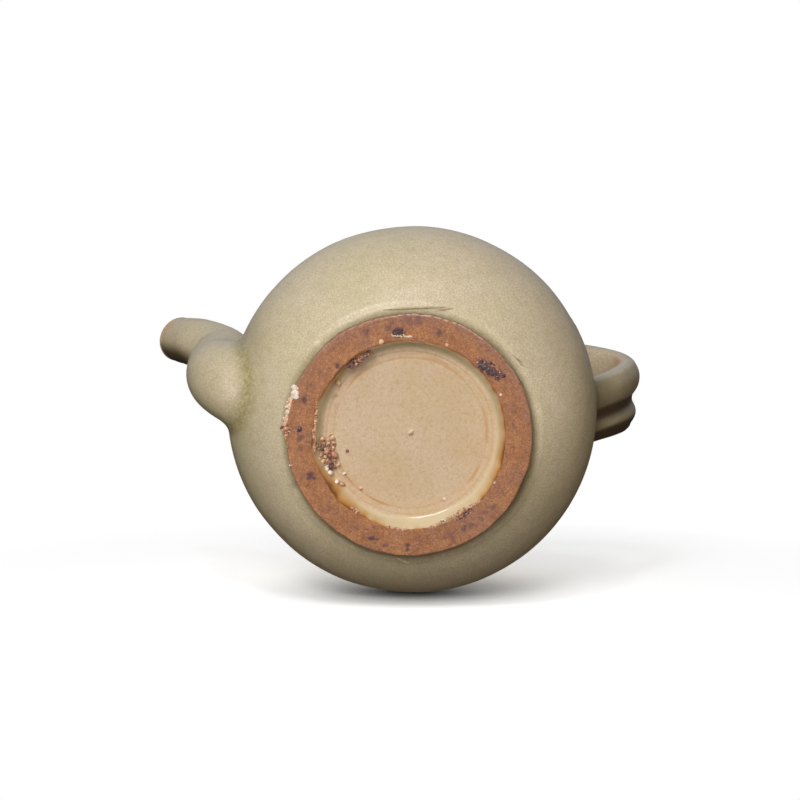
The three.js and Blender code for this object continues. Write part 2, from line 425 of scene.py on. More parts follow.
def closed_turning(profile, angles):
    """Points and faces of a profile turned right round, with its first and last point on the axis."""
    inner = revolve(profile[1:-1], angles).reshape(-1, 3)
    poles = np.array([[0, 0, profile[0, 1]], [0, 0, profile[-1, 1]]])
    return np.concatenate([inner, poles]), capped_faces(len(profile) - 2, len(angles))


def resample(profile, spacing):
    """A profile's points spread evenly along it, keeping every given point."""
    parts = []
    for a, b in zip(profile[:-1], profile[1:]):
        count = max(1, int(np.ceil(np.linalg.norm(b - a) / spacing)))
        parts.append(a + (b - a) * np.linspace(0, 1, count, endpoint=False)[:, None])
    return np.concatenate([*parts, profile[-1:]])


def warped_angles(fine, coarse, centres, half_width):
    """Angles right round in radians: fine steps within half_width of each centre, coarse ones elsewhere."""
    trial_step = 0.05
    trial = np.radians(np.arange(0, 360, trial_step))
    gap = np.min([np.abs((trial - c + np.pi) % (2 * np.pi) - np.pi) for c in centres], 0)
    step = fine + (coarse - fine) * ease(half_width, half_width * 1.4, gap)
    run = np.concatenate([[0], np.cumsum(1 / step)])
    count = int(run[-1] * np.radians(trial_step))
    return np.interp(np.linspace(0, run[-1], count, endpoint=False), run[:-1], trial)


# Materials

def material(name):
    """A new node material with its tree and its shader."""
    made = bpy.data.materials.new(name)
    made.use_nodes = True
    tree = made.node_tree
    return made, tree, tree.nodes["Principled BSDF"]


def add(tree, kind, inputs=None, **settings):
    """Adds a shader node, sets its own settings and its sockets' values or links."""
    node = tree.nodes.new("ShaderNode" + kind)
    for key, value in settings.items():
        setattr(node, key, value)
    for key, value in (inputs or {}).items():
        if isinstance(value, bpy.types.NodeSocket):
            tree.links.new(value, node.inputs[key])
        else:
            node.inputs[key].default_value = value
    return node


def colour(r, g, b):
    """A colour given as it looks on a screen, 0 to 255, as the linear value that a shader takes."""
    c = np.array([r, g, b]) / 255
    return (*np.where(c <= 0.04045, c / 12.92, ((c + 0.055) / 1.055) ** 2.4).tolist(), 1.0)


def object_place(tree):
    """Each point's place on the object, in metres."""
    return add(tree, "TexCoord").outputs["Object"]


def emission(tree, level, strength=1.0):
    """A grey light of its own."""
    return add(tree, "Emission", {"Color": (level, level, level, 1), "Strength": strength}).outputs[0]


def mix_shader(tree, share, first, second):
    """A shader between two, by a share."""
    return add(tree, "MixShader", {0: share, 1: first, 2: second}).outputs[0]


def noise(tree, size, detail=3.0, rough=0.55):
    """Noise whose blobs are about size millimetres across, on Object coordinates."""
    settings = {"Vector": object_place(tree), "Scale": 1 / (size * MM), "Detail": detail, "Roughness": rough}
    return add(tree, "TexNoise", settings).outputs["Fac"]


def mix(tree, share, first, second):
    """A colour between two, by a share that may be a number or a socket."""
    return add(tree, "Mix", {0: share, 6: first, 7: second}, data_type="RGBA").outputs[2]


def span(tree, value, low, high, to_low=0.0, to_high=1.0):
    """A socket's value stretched from one span to another, and held at the ends."""
    limits = {"Value": value, "From Min": low, "From Max": high, "To Min": to_low, "To Max": to_high}
    return add(tree, "MapRange", limits).outputs["Result"]


def blotches(tree, grain, low, high, least=0.0, most=1.0):
    """Noise of a grain, which is its size, detail and roughness, as shares from least to most."""
    return span(tree, noise(tree, *grain), low, high, least, most)


def attribute(tree, name):
    """A number kept at each point of the mesh."""
    return add(tree, "Attribute", attribute_name=name).outputs["Fac"]


def sums(tree, operation, first, second):
    """One sum of two numbers or sockets."""
    return add(tree, "Math", {0: first, 1: second}, operation=operation).outputs[0]


def crackle(tree, size):
    """0 along a fine net of cracks whose cells are about size millimetres, 1 between them."""
    settings = {"Vector": object_place(tree), "Scale": 1 / (size * MM)}
    cells = add(tree, "TexVoronoi", settings, feature="DISTANCE_TO_EDGE")
    return span(tree, cells.outputs["Distance"], 0.0, 0.14)


def layered(tree, base, layers):
    """A colour with others laid over it in turn, each by its own share."""
    for share, shade in layers:
        base = mix(tree, share, base, colour(*shade))
    return base


def finish(tree, shader, base, roughness):
    """Gives the shader its colour socket and its roughness."""
    tree.links.new(base, shader.inputs["Base Color"])
    shader.inputs["Roughness"].default_value = roughness


def bump(tree, shader, grain, height):
    """Raises the surface's shading by noise of a grain, over so many millimetres."""
    node = add(tree, "Bump", {"Height": noise(tree, *grain), "Distance": height * MM, "Strength": 1.0})
    tree.links.new(node.outputs["Normal"], shader.inputs["Normal"])


def olive_glaze():
    """Yellow-olive glaze: fine mottling and crackle over slow drifts from green to a thin warm tan, greener
    where it pools, darker with painted shade in hollows and on undersides, tan where it is thin, and pale
    with painted highlight on a few swellings."""
    made, tree, shader = material("olive_glaze")
    drifting = layered(tree, colour(209, 196, 163), [(blotches(tree, (45, 2), 0.35, 0.65), (219, 203, 177))])
    pooled = sums(tree, "MULTIPLY", attribute(tree, "pool"), blotches(tree, (1.2, 3, 0.75), 0.36, 0.6, 0.3))
    speckled = layered(tree, drifting, [
        # Pale pink: thin glaze, and painted light where it stands for a highlight and for the strap's lit
        # inner face
        (attribute(tree, "blush_and_painted_light"), (230, 212, 188)),
        (pooled, (146, 134, 80)),
        (blotches(tree, (3.5, 3, 0.6), 0.42, 0.7, 0.0, 0.3), (172, 160, 118)),
        (blotches(tree, (0.75, 4, 0.85), 0.38, 0.66, 0.0, 0.42), (162, 148, 112))])
    cracked = mix(tree, crackle(tree, 0.9), colour(158, 145, 102), speckled)
    glazed = layered(tree, mix(tree, 0.45, speckled, cracked), [
        # Painted shade: in the strap's groove and under its ribs, under the spout's tube and beside the
        # foot, and a darker patch above the spout's swelling
        (attribute(tree, "dark"), (92, 76, 52)),
        (attribute(tree, "thin"), (212, 164, 114))])
    finish(tree, shader, glazed, 0.3)
    shader.inputs["Specular IOR Level"].default_value = 0.3
    bump(tree, shader, (1.1, 4, 0.7), 0.08)
    return made


def bare_clay():
    """Orange-brown fired clay with turning streaks, a fine grain, a purple-grey haze, iron spots and a
    frosted edge."""
    made, tree, shader = material("bare_clay")
    fired = layered(tree, colour(189, 131, 85), [
        (blotches(tree, (5, 5, 0.7), 0.38, 0.64), (157, 101, 65)),
        (span(tree, attribute(tree, "turned"), 0.1, 1.4, 0.0, 0.35), (146, 96, 72)),
        (attribute(tree, "haze"), (156, 112, 94)),
        (blotches(tree, (0.45, 4, 0.95), 0.5, 0.68, 0.0, 0.75), (224, 180, 142)),
        (blotches(tree, (0.8, 4, 0.9), 0.42, 0.62, 0.0, 0.8), (132, 84, 58)),
        (blotches(tree, (1.9, 2, 0.6), 0.62, 0.7, 0.0, 0.5), (112, 76, 72)),
        (attribute(tree, "iron"), (84, 62, 74)),
        (attribute(tree, "frost"), (238, 222, 206))])
    finish(tree, shader, fired, 0.75)
    bump(tree, shader, (0.55, 4, 0.9), 0.19)
    return made


def recess_glaze():
    """Thin glossy tan glaze inside the foot, paler and greener towards the wall, stained orange in its
    groove and amber where it ends."""
    made, tree, shader = material("recess_glaze")
    glazed = layered(tree, colour(213, 192, 166), [
        (blotches(tree, (13, 3), 0.35, 0.7), (207, 182, 148)),
        (blotches(tree, (1.3, 3, 0.75), 0.5, 0.68, 0.0, 0.5), (190, 150, 104)),
        (blotches(tree, (0.5, 4, 0.9), 0.42, 0.62, 0.0, 0.55), (184, 156, 118)),
        (attribute(tree, "pool"), (210, 194, 156)),
        (attribute(tree, "stain"), (188, 136, 86)),
        (span(tree, attribute(tree, "amber"), 0.05, 0.55), (196, 142, 76)),
        (span(tree, attribute(tree, "amber"), 0.55, 1.0), (130, 76, 34))])
    finish(tree, shader, glazed, 0.1)
    bump(tree, shader, (1.2, 3, 0.6), 0.02)
    return made


def kiln_grit():
    """Fused grit: blue-black slag, red-brown, pink-tan and white glass by each grain's tone."""
    made, tree, shader = material("kiln_grit")
    tone = attribute(tree, "tone")
    fused = layered(tree, colour(66, 60, 70), [
        (span(tree, tone, 0.1, 0.35), (168, 112, 92)),
        (span(tree, tone, 0.4, 0.7), (226, 182, 140)),
        (span(tree, tone, 0.75, 1.0), (236, 226, 208)),
        (blotches(tree, (0.35, 2, 0.6), 0.4, 0.65, 0.0, 0.22), (120, 82, 62))])
    finish(tree, shader, fused, 0.18)
    return made


def background_rays(tree, mirrored=1.0):
    """1 for the rays that show the background: the camera's own and those that pass through glass, and
    those that gloss sends on, times the share of the background that is mirrored."""
    path = add(tree, "LightPath").outputs
    direct = sums(tree, "MAXIMUM", path["Is Camera Ray"], path["Is Transmission Ray"])
    return sums(tree, "MAXIMUM", direct, sums(tree, "MULTIPLY", path["Is Glossy Ray"], mirrored))


# Distances from the contact, in metres, between which the floor turns white, the glow near the contact, and
# how open a point has to be to get no contact shadow
shadow_reach = (0.03, 0.2)
near_glow = 0.54
open_share = 0.54


def studio_floor():
    """White to the camera far from the ewer; near it more of the light is the lamps' own, so that the
    shadow shows. Only its upper side is seen."""
    made, tree, shader = material("studio_floor")
    away = add(tree, "VectorMath", {0: object_place(tree)}, operation="LENGTH").outputs["Value"]
    seen = background_rays(tree)
    lit = add(tree, "BsdfDiffuse", {"Color": (1, 1, 1, 1)}).outputs[0]
    glow = emission(tree, 1, sums(tree, "MULTIPLY", seen, near_glow))
    near = add(tree, "AddShader", {0: lit, 1: glow}).outputs[0]
    bright = mix_shader(tree, span(tree, away, *shadow_reach), near, emission(tree, 1, seen))
    free = add(tree, "AmbientOcclusion", {"Distance": 0.3}, samples=16).outputs["AO"]
    upper = mix_shader(tree, span(tree, free, 0.0, open_share), emission(tree, 0), bright)
    clear = add(tree, "BsdfTransparent").outputs[0]
    both = mix_shader(tree, add(tree, "NewGeometry").outputs["Backfacing"], upper, clear)
    tree.links.new(both, tree.nodes["Material Output"].inputs["Surface"])
    tree.nodes.remove(shader)
    return made


MATERIALS = {"olive_glaze": olive_glaze(), "bare_clay": bare_clay(), "recess_glaze": recess_glaze(),
             "kiln_grit": kiln_grit()}


# Pieces

def ellipse_arc(start, end, depth, spacing, radius=body_radius, lift=belly_height):
    """Points of the body's profile between two heights, at even steps of the ellipse's own angle."""
    low, high = np.arcsin(np.clip((np.array([start, end]) - lift) / depth, -1, 1))
    count = max(2, int(abs(high - low) * max(radius, depth) / spacing))
    angle = np.linspace(low, high, count)
    return np.stack([radius * np.cos(angle), lift + depth * np.sin(angle)], 1)


def body_outside():
    """The body's glazed outside from the glaze's lower edge on the foot to the neck's seat."""
    foot_join = body_radius * np.sqrt(1 - ((foot_height - belly_height) / lower_depth) ** 2)
    cove = bezier([(foot_radius + 0.1, glaze_stop), (foot_radius + 0.25, foot_height - 0.3),
                   (foot_join, foot_height)], 8)
    lower = ellipse_arc(foot_height, belly_height, lower_depth, skin_step)
    upper = ellipse_arc(belly_height, neck_seat_height, shoulder_rise, skin_step)
    return np.concatenate([cove, lower[1:], upper[1:]])


def painted_foot_shadow(skin):
    """Depth of the painted shadow on the body beside the foot: a dark line in the crease, deeper and
    broader on its low side, where the foot's shadow falls.
    """
    radius = off_axis(skin)
    low_side = ease(-0.1, 0.7, (0.25 * skin[:, 0] + 0.97 * skin[:, 1]) / radius)
    line = bell(np.maximum(skin[:, 2] - 4.6, 0), 0, 0.5 + 0.9 * low_side)
    return (radius < foot_radius + 6) * (0.25 + 0.4 * low_side) * line


def make_body():
    """The thrown body as one closed shell: its outside is moved outwards onto the rounded union with the
    spout and the handle, and its inside is a plain wall's thickness within."""
    angles = warped_angles(np.radians(0.55), np.radians(1.6), (spout_turn, handle_turn), np.radians(24))
    outside = body_outside()
    inner = body_radius - body_wall
    over = ellipse_arc(belly_height + (shoulder_rise - body_wall) * np.sqrt(1 - (bore_radius / inner) ** 2),
                       belly_height, shoulder_rise - body_wall, inside_step, inner)
    under = ellipse_arc(belly_height, inside_floor + 2, lower_depth - body_wall, inside_step, inner)
    start = np.array([[0, recess_floor + 1.4], [27, recess_floor + 1.2], [36, 4.6],
                      [foot_radius - 0.3, glaze_stop + 0.3]])
    close = np.array([[bore_radius, neck_seat_height]])
    floor = np.array([[16, inside_floor + 0.2], [0, inside_floor]])
    profile = np.concatenate([start, outside, close, over, under[1:], floor])
    points, faces = closed_turning(profile, angles)
    first = (len(start) - 1) * len(angles)
    last = first + len(outside) * len(angles)
    skin = points[first:last].reshape(len(outside), len(angles), 3)
    aims = np.gradient(outside, axis=0)
    aims = np.stack([aims[:, 1], -aims[:, 0]], 1)
    aims = revolve(normalised(aims), angles).reshape(-1, 3)
    skin = skin.reshape(-1, 3)
    skin = skin + aims * np.minimum(0.1 * ripple(skin, 40, 1, 24) - 0.05, 0)[:, None]
    wet = 0.75 * bell(np.maximum(skin[:, 2] - 3.4, 0), 0, 1.0)
    dark = np.zeros(len(points))
    # Painted shade on the outside: the foot's shadow beside it, and the darker patch above the spout's
    # swelling
    dark[first:last] = np.maximum(painted_foot_shadow(skin), saddle(skin))
    for limb, fillet, reach, green in ((spout, spout_fillet, 3.4, 1.0), (strap, strap_fillet, 2.6, 0.3)):
        near = np.min(np.linalg.norm(skin[:, None] - limb.places[None, ::12], axis=2), 1) < near_limb
        close_by = skin[near]
        moved = march(close_by, aims[near],
                      lambda p: smooth_min(vessel_distance(p), limb.distance(p) + skin_gap, fillet), reach)
        skin[near] = close_by + aims[near] * moved[:, None]
        wet[near] = np.maximum(wet[near], green * crease(skin[near], limb, fillet * 1.2) ** 3)
    beside_spout = bell(skin[:, 0], -50.5, 5.5) * bell(skin[:, 1], -5, 15)
    wet = np.maximum(wet, 0.32 * beside_spout * (skin[:, 2] < belly_height))
    points[first:last] = skin
    pool = np.zeros(len(points))
    pool[first:last] = wet
    return mesh_piece("body_wall", points, faces, "olive_glaze", ["body"],
                      {"pool": pool, "dark": dark, "blush_and_painted_light": blush_and_painted_light(points)})


def swept_skin(limb, centre, fillet, reach, sides, rows):
    """Points of a limb's outside: from its curve, shifted by centre in the section, each ray at one angle
    of the section goes out to the rounded union of the limb and the vessel."""
    angle = full_turn(sides)
    pick = np.linspace(0, len(limb.places) - 1, rows)
    lower = np.minimum(pick.astype(int), len(limb.places) - 2)
    w = (pick - lower)[:, None]

    def at(values):
        return values[lower] * (1 - w) + values[lower + 1] * w

    share = limb.share[lower] * (1 - w[:, 0]) + limb.share[lower + 1] * w[:, 0]
    across, outward = at(limb.across), at(limb.outward)
    start = at(limb.places) + across * centre[0] + outward * centre[1]
    aims = across[:, None] * np.cos(angle)[None, :, None] + outward[:, None] * np.sin(angle)[None, :, None]
    origins = np.repeat(start[:, None], sides, 1).reshape(-1, 3)
    flat_aims = aims.reshape(-1, 3)
    share = np.repeat(share, sides)
    cos, sin = np.tile(np.cos(angle), rows), np.tile(np.sin(angle), rows)

    def union(points):
        gone = ((points - origins) * flat_aims).sum(1)
        limb_gap = limb.section(share, centre[0] + cos * gone, centre[1] + sin * gone)
        joined = smooth_min(vessel_distance(points) + skin_gap, limb_gap, fillet)
        return np.maximum(joined, limb_gap - fillet * 0.8)

    gone = march(origins, flat_aims, union, reach, 30)
    return origins + flat_aims * gone[:, None], share, flat_aims, start


def make_spout():
    """The hollow spout: outside skin, rounded lip and inside bore as one closed tube."""
    sides, rows = 112, 190
    skin, share, aims, start = swept_skin(spout, (0, 0), spout_fillet, 22, sides, rows)
    skin = skin.reshape(rows, sides, 3)
    share = share.reshape(rows, sides)
    aims = aims.reshape(rows, sides, 3)
    half_wall = spout_wall / 2
    lip_middle = spout_radii[-1] - half_wall
    rim = [spout.places[-1] + aims[-1] * (lip_middle + np.cos(a) * half_wall)
           + spout.along[-1] * (np.sin(a) * half_wall - half_wall) for a in np.linspace(0, np.pi, 9)[1:-1]]
    keep = rows - 3
    bore_rows = np.linspace(keep - 1, 40, 40).astype(int)
    bore = [start[i] + aims[i] * (smooth_run(spout_radii, share[i]) - spout_wall)[:, None]
            for i in bore_rows]
    layers = np.concatenate([skin[:keep], np.array(rim), np.array(bore)])
    points = layers.reshape(-1, 3)
    count = len(layers)
    faces = grid_faces(count, sides, close_rows=True)
    pool = crease(points, spout, spout_fillet * 1.2) ** 3
    thin = 0.5 * bell(np.linalg.norm(points - lip_stain, axis=1), 0, 4.5)
    dark = np.zeros((count, sides))
    # Painted shade on the tube's underside, along its outer part
    dark[:keep] = ease(-0.1, 0.6, aims[:keep, :, 1]) * ease(0.62, 0.8, share[:keep])
    dark = np.maximum(dark.ravel(), saddle(points))
    return mesh_piece("spout_tube", points, faces, "olive_glaze", ["spout"],
                      {"pool": pool, "thin": thin, "dark": dark, "blush_and_painted_light": blush_and_painted_light(points)})


def make_strap():
    """The double-ribbed strap, closed by a fan at each end inside the vessel's wall."""
    sides, rows = 144, 200
    skin, share, aims, start = swept_skin(strap, (groove_line, -0.4), strap_fillet, 17, sides, rows)
    aims = aims.reshape(rows, sides, 3)
    side_ways, faces_out = aims[:, 0], aims[:, sides // 4]
    points = np.concatenate([skin, start[:1], start[-1:]])
    pool = 0.3 * crease(points, strap, strap_fillet * 1.25) ** 2
    thin = 0.75 * bell(np.linalg.norm((points - strap_stain) / strap_stain_half, axis=1), 0, 1)
    near = np.concatenate([np.repeat(np.arange(rows), sides), [0, rows - 1]])
    offset = points - start[near]
    across = (offset * side_ways[near]).sum(1) + groove_line
    outward = (offset * faces_out[near]).sum(1)
    outside = outward > -0.5
    share = np.concatenate([share, share[:1], share[-1:]])
    # Painted shade: the groove between the ribs, the back rib's far side, the root at the body, the outer
    # turn
    valley = bell(across, groove_line + 0.6, 1.9 + 0.9 * ease(0.45, 0.75, share), 4) * outside
    shaded = ease(0.4, 0.6, share)
    dark = np.maximum(valley * (0.45 + 0.55 * shaded), ease(5.2, 7.2, across) * shaded)
    dark = np.maximum(dark, 0.4 * ease(0.8, 0.92, share) * outside)
    dark = np.maximum(dark, 0.25 * ease(67, 73, points[:, 0]) * outside)
    # Painted light: the inner face is made paler, as if lit through the gap behind the strap
    inner_face = 0.9 * ease(0.2, 1.2, -outward)
    return mesh_piece("handle_strap", points, capped_faces(rows, sides), "olive_glaze",
                      ["handle_strand_front", "handle_strand_back"],
                      {"pool": pool, "thin": thin, "dark": dark, "blush_and_painted_light": inner_face})


def make_neck():
    """The neck and everted mouth as a closed ring-shaped turning."""
    outside = resample(neck_outside(), skin_step)
    throat = waist_radius - neck_wall
    flare = mouth_height - waist_height
    lip = bezier([(mouth_radius, mouth_height - lip_round), (mouth_radius, mouth_height),
                  (mouth_radius - lip_round, mouth_height)], 8)
    down = bezier([(mouth_radius - lip_round, mouth_height),
                   (mouth_radius - neck_wall - 3.2, mouth_height - 3.2),
                   (throat, waist_height + 0.55 * flare), (throat, waist_height)], 24)
    into = bezier([(throat, waist_height), (throat, waist_height - 0.3 * flare),
                   (bore_radius - neck_wall, neck_seat_height + neck_wall),
                   (bore_radius, neck_seat_height)], 14)
    profile = np.concatenate([outside, lip[1:], down[1:], into[1:]])
    angles = full_turn(180)
    points = revolve(profile, angles).reshape(-1, 3)
    faces = grid_faces(len(profile), len(angles), close_rows=True)
    pool = np.repeat(0.5 * bell(profile[:, 1], neck_seat_height, 4), len(angles))
    thin = np.repeat(0.5 * ease(mouth_height - 1.2, mouth_height, profile[:, 1]), len(angles))
    return mesh_piece("neck_funnel", points, faces, "olive_glaze", ["neck"], {"pool": pool, "thin": thin})


def blots(points, table, wander, seed):
    """Depth of colour of round stains: for each row x, y, radius, strength, a bell curve of the distance,
    which a ripple makes ragged. The deepest one counts."""
    ragged = 1 + wander * ripple(points, 1.6, seed)
    deep = np.zeros(len(points))
    for x, y, radius, strength in table:
        gap = np.hypot(points[:, 0] - x, points[:, 1] - y) * ragged
        deep = np.maximum(deep, strength * bell(gap, 0, radius, 4))
    return deep


# Iron spots on the foot's face: x, y, radius and depth
IRON_SPOTS = [(-33.7, -7.4, 1.0, 0.9), (-33.2, -6.2, 0.8, 0.7), (-33.5, 5.4, 1.0, 0.7),
              (-32.9, 8.2, 0.9, 0.45), (-28.9, 16.6, 1.1, 0.95), (-24.8, -19.2, 0.9, 0.9),
              (-29.5, -15.9, 1.2, 0.45), (-31.8, -11.6, 1.2, 0.4), (4.8, -33.2, 1.0, 0.75),
              (-7.0, 33.9, 1.1, 0.9), (-2.9, 35.7, 0.8, 0.7), (4.2, 34.7, 0.7, 0.85),
              (16.8, 29.6, 1.7, 0.35), (17.9, 30.4, 1.0, 0.4), (22.9, 25.8, 1.1, 0.45),
              (25.3, 22.9, 0.7, 0.4), (-13.6, 31.2, 1.1, 0.4), (-12.0, 31.5, 0.8, 0.4),
              (8.0, 33.5, 1.3, 0.25), (-2.2, -36.2, 1.4, 0.5), (-5.0, -35.6, 1.6, 0.4),
              (-17.5, -30.6, 1.4, 0.45), (-10.5, -32.6, 1.3, 0.5), (-9.9, -34.8, 1.2, 0.35),
              (31.2, -12.6, 0.8, 0.35), (32.0, -7.5, 0.9, 0.35), (28.8, 18.8, 1.1, 0.5),
              (26.6, 21.0, 0.9, 0.45), (19.4, -25.1, 1.7, 1.0), (22.1, -23.9, 1.7, 1.0),
              (24.9, -22.8, 1.3, 1.0), (-7.5, -31.9, 1.5, 0.9), (31.0, 13.8, 0.9, 0.35),
              (20.8, 27.2, 0.8, 0.6), (-21.5, 26.5, 0.9, 0.4)]


# Ripples of the foot's edges: size, wavelength and seed
INNER_WAVES = [(0.2, 16, 3), (0.08, 3.5, 4)]
OUTER_WAVES = [(0.1, 12, 8), (0.05, 2.5, 9)]


def edge_wander(points, radius, waves):
    """How far an edge of the foot at a radius wanders at each point's angle about the axis."""
    ring = points * [1, 1, 0]
    ring = ring * (radius / np.maximum(np.linalg.norm(ring, axis=1), 1e-6))[:, None]
    return sum(size * ripple(ring, wavelength, seed) for size, wavelength, seed in waves)


def make_foot_ring():
    """The turned foot of bare clay: a closed ring whose edges wander a little and whose face is nearly
    flat."""
    corners = np.array([[band_inner + 0.35, 5.2], [band_inner + 0.35, 1.4],
                        [band_inner + 0.22, foot_face + 0.5], [band_inner + 0.3, foot_face + 0.15],
                        [band_inner + 0.6, foot_face],
                        [foot_radius - 0.4, foot_face], [foot_radius - 0.08, foot_face + 0.2],
                        [foot_radius, foot_face + 0.7], [foot_radius, 4.6], [band_inner + 0.35, 5.2]])
    profile = resample(corners, 0.3)[:-1]
    angles = full_turn(720)
    points = revolve(profile, angles).reshape(-1, 3)
    radius = off_axis(points)
    near_inner = 1 - ease(0.8, 3.5, np.abs(radius - band_inner))
    near_outer = 1 - ease(0, 1.6, np.abs(radius - foot_radius))
    wander = edge_wander(points, band_inner, INNER_WAVES) * near_inner
    wander += edge_wander(points, foot_radius, OUTER_WAVES) * near_outer
    points[:, :2] *= (1 + wander / radius)[:, None]
    face = 1 - ease(foot_face + 0.1, foot_face + 0.9, points[:, 2])
    side = np.arctan2(points[:, 1], points[:, 0])
    turned = ripple(np.stack([radius * 9, 30 * np.cos(side), 30 * np.sin(side)], 1), 9, 16)
    points[:, 2] += face * (0.05 * ripple(points, 9, 5) + 0.02 * ripple(points, 1.3, 6) + 0.02 * turned)
    points[:, 2] = np.maximum(points[:, 2], 0.02)
    haze = ease(33, 37.8, radius) * ease(-0.2, 0.75, -points[:, 1] / radius)
    haze = haze * (0.75 + 0.2 * ripple(points, 6, 12))
    haze = np.maximum(haze, 0.5 * ease(0.3, 1.6, ripple(points, 11, 13)))
    haze = np.maximum(haze, 0.9 * np.exp(-((points[:, 0] - 22) ** 2 + (points[:, 1] - 22) ** 2) / 60))
    iron = blots(points, IRON_SPOTS, 0.25, 14)
    edge = (radius > foot_radius - 0.3) * bell(points[:, 2], foot_face + 0.55, 0.45)
    frost = 0.95 * ease(-1.5, 0.3, ripple(points, 1.6, 15)) * edge
    frost *= 0.15 + 0.85 * bell(np.arctan2(points[:, 0], -points[:, 1]), 0.1, 0.5)
    faces = grid_faces(len(profile), len(angles), close_rows=True)
    return mesh_piece("foot_clay", points, faces, "bare_clay", ["foot_ring"],
                      {"haze": haze, "iron": iron, "frost": frost, "turned": turned * face})


# The turning tool's marks on the recess floor: radius, rise and half width, and where the wall starts
TOOL_MARKS = [(23.4, 0.04, 0.25), (24.0, -0.03, 0.4), (24.65, 0.04, 0.25), (25.5, 0.04, 0.3),
              (26.0, -0.03, 0.25), (26.6, 0.04, 0.25)]
wall_start = 27.0


def make_recess():
    """The glazed floor and wall inside the foot: a closed skin with a shallow trimmed groove, fine ridges
    left by the turning tool and a sloping wall."""
    radius = np.concatenate([np.linspace(0.4, 22.4, 60), np.linspace(22.6, wall_start, 64)])
    height = np.full(len(radius), recess_floor)
    for place, rise, width in TOOL_MARKS:
        height += rise * bell(radius, place, width)
    floor = np.stack([radius, height], 1)
    wall = bezier([(wall_start, height[-1]), (28.6, recess_floor - 0.3), (28.5, 2.8),
                   (band_inner + 0.22, 0.5)], 44)
    back = np.array([[band_inner + 0.5, 1.4], [band_inner + 0.6, 6.4], [27, 7.2], [0, 7.2]])
    profile = np.concatenate([[[0, height[0]]], floor, wall[1:], back])
    points, faces = closed_turning(profile, full_turn(480))
    rho = off_axis(points)
    side = np.arctan2(points[:, 1], points[:, 0])
    around = np.stack([np.cos(side), np.sin(side), 0 * side], 1)
    drift = ripple(3 * around, 1.7, 21)
    stain = bell(rho, 24.05 + 0.15 * drift, 0.55) * np.clip(0.42 + 0.2 * drift, 0.15, 0.7)
    stain = np.maximum(stain, 0.25 * bell(rho, 26.0, 0.3))
    pool = 0.9 * ease(26.8, 28.0, rho)
    aside = bell(side, 2.3, 0.45) + 0.8 * bell(side, 0.1, 0.6) + 0.9 * bell(side, -2.6, 0.3)
    soak = np.clip(0.45 + 0.75 * aside + 0.2 * ripple(30 * around, 4, 22), 0.25, 1.5)
    inwards = np.maximum(band_inner + 0.22 - rho, 0)
    amber = soak * np.exp(-inwards / (0.32 + 1.0 * np.minimum(aside, 1))) * (rho > 27.2)
    amber = np.clip(amber, 0, 1) * (rho < band_inner + 0.25)
    on_wall = (rho > 27.2) * (1 - ease(2.0, 5.5, points[:, 2]))
    wander = edge_wander(points, band_inner, INNER_WAVES) * on_wall
    points[:, :2] *= (1 + wander / np.maximum(rho, 1))[:, None]
    points[:, 2] += (rho < 27) * (points[:, 2] < 7) * 0.015 * ripple(points, 9, 23)
    return mesh_piece("recess_floor", points, faces, "recess_glaze", (),
                      {"pool": pool, "stain": stain, "amber": amber})


# Grains and beads of kiln grit: x, y, z, radius and tone, from 0 for dark slag to 1 for white glass
HEAP = [(-26.7, 5.5, 5.0, 1.0, 0.62), (-23.7, 4.9, 5.4, 0.94, 0.8), (-24.5, 3.7, 5.6, 0.5, 0.75),
        (-23.2, 6.1, 5.4, 0.67, 0.6), (-26.2, 6.8, 5.0, 0.84, 0.45), (-27.2, 7.8, 4.6, 0.67, 0.4),
        (-24.7, 6.6, 5.0, 0.6, 0.7), (-26.1, 8.9, 4.9, 0.5, 0.1), (-25.0, 9.4, 4.8, 0.74, 0.5),
        (-23.9, 8.4, 5.2, 0.67, 0.3), (-22.4, 10.1, 5.2, 1.07, 0.5), (-26.9, 10.4, 4.4, 1.01, 0.6),
        (-23.7, 10.6, 4.6, 0.74, 0.25), (-25.0, 11.0, 4.6, 0.67, 0.7), (-25.8, 12.7, 4.4, 0.94, 0.72),
        (-27.3, 12.9, 4.0, 0.74, 0.6), (-23.4, 12.4, 4.7, 0.94, 0.3), (-22.0, 11.8, 5.4, 0.6, 0.45),
        (-22.9, 13.8, 4.9, 1.01, 0.15), (-24.2, 14.7, 4.7, 0.84, 0.9), (-21.9, 14.0, 5.4, 0.6, 0.4),
        (-26.4, 15.7, 3.8, 0.74, 0.2), (-23.0, 15.8, 5.0, 1.01, 0.95), (-25.2, 16.2, 4.4, 0.67, 0.35),
        (-24.2, 17.5, 4.6, 0.74, 0.8), (-23.2, 18.1, 4.9, 0.94, 0.4), (-24.2, 18.7, 4.2, 0.6, 0.9),
        (-23.6, 19.5, 4.0, 0.5, 0.1), (-22.2, 19.3, 5.0, 0.5, 0.7), (-28.1, 7.6, 3.6, 0.6, 0.5),
        (-28.0, 8.8, 3.4, 0.5, 0.4), (-20.5, 18.6, 5.7, 0.74, 1.0), (-18.7, 19.2, 5.7, 0.94, 0.5),
        (-18.6, 15.8, 5.8, 0.6, 1.0), (-18.5, 8.4, 5.8, 0.74, 0.3), (-12.8, 19.8, 5.9, 0.6, 0.68)]
LONE_BEADS = [(0.45, -0.25, 5.9, 1.0, 0.88), (13.6, 19.6, 6.0, 0.6, 0.9), (-23.9, -12.7, 5.6, 0.8, 0.75),
              (-12.5, -28.0, 0.8, 0.95, 0.8), (7.7, -30.0, 0.7, 0.5, 0.8), (26.2, -16.9, 0.5, 0.55, 0.95),
              (28.3, 11.0, 0.7, 0.45, 0.95), (-33.9, 2.1, 0.85, 0.95, 0.12), (-24.3, -8.9, 5.8, 0.5, 0.66),
              (-33.4, 2.5, 0.8, 0.5, 0.08), (-22.2, -21.0, 1.2, 0.45, 0.9)]

